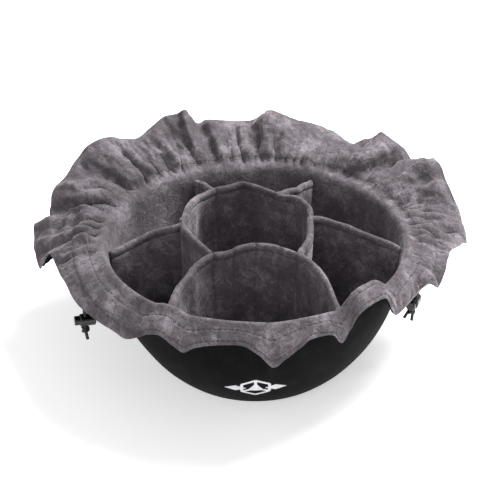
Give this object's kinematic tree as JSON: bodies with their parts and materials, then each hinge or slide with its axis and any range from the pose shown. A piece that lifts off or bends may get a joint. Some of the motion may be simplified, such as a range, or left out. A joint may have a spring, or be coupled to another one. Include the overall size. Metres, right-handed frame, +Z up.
{
  "type": "drawstring dice bag",
  "caption": "Round soft drawstring bag standing open, with a folded-out wavy collar, seven lined pockets, a drawstring in a channel and a sprung cord lock on each side.",
  "frame": {"origin": "centre of the round base's underside, on the surface that the bag stands on", "axes": "+Z up, out of the mouth; +Y towards the back, away from the badge; +X to the right as seen from the badge's side"},
  "size_m": [0.3457, 0.3083, 0.1404],
  "materials": {
    "outer_suede": "matt black suede cloth",
    "lining_velour": "grey short-pile velour",
    "board": "plain greyboard",
    "drawcord": "black round braided cord",
    "eyelet_metal": "black enamelled eyelet",
    "lock_plastic": "glossy black moulded plastic",
    "spring_steel": "drawn spring wire",
    "embroidery_thread": "silver-grey rayon satin stitch"
  },
  "bodies": {
    "root": {"outer_base": "outer_suede", "base_board": "board", "lining_floor": "lining_velour", "outer_wall_front": "outer_suede", "outer_wall_back": "outer_suede", "lining_wall": "lining_velour", "center_pocket_wall": "lining_velour", "divider_right": "lining_velour", "divider_back_right": "lining_velour", "divider_back_left": "lining_velour", "divider_left": "lining_velour", "divider_front_left": "lining_velour", "divider_front_right": "lining_velour", "collar_outer": "outer_suede", "collar_lining": "lining_velour", "drawstring_left": "drawcord", "drawstring_right": "drawcord", "eyelet_left": "eyelet_metal", "eyelet_right": "eyelet_metal", "strand_left_a": "drawcord", "strand_left_b": "drawcord", "strand_right_a": "drawcord", "strand_right_b": "drawcord", "knot_left": "drawcord", "knot_right": "drawcord", "badge_embroidery": "embroidery_thread"},
    "lock_left": {"lock_barrel_left": "lock_plastic", "lock_spring_left": "spring_steel"},
    "plunger_left": {"lock_plunger_left": "lock_plastic"},
    "lock_right": {"lock_barrel_right": "lock_plastic", "lock_spring_right": "spring_steel"},
    "plunger_right": {"lock_plunger_right": "lock_plastic"}
  },
  "joints": [
    {"name": "lock_left_slide", "type": "slide", "parent": "root", "child": "lock_left", "axis": [0.0599, 0.02, 0.998], "range_m": [0, 0.022]},
    {"name": "plunger_left_press", "type": "slide", "parent": "lock_left", "child": "plunger_left", "axis": [0.9492, 0.3084, -0.0631], "range_m": [0, 0.0025], "stiffness_N_per_m": 400, "springref_m": -0.004, "deforming": ["lock_spring_left"]},
    {"name": "lock_right_slide", "type": "slide", "parent": "root", "child": "lock_right", "axis": [0.1125, -0.0094, 0.9936], "range_m": [0, 0.022]},
    {"name": "plunger_right_press", "type": "slide", "parent": "lock_right", "child": "plunger_right", "axis": [0.4223, 0.9056, -0.0393], "range_m": [0, 0.0025], "stiffness_N_per_m": 400, "springref_m": -0.004, "deforming": ["lock_spring_right"]}
  ]
}
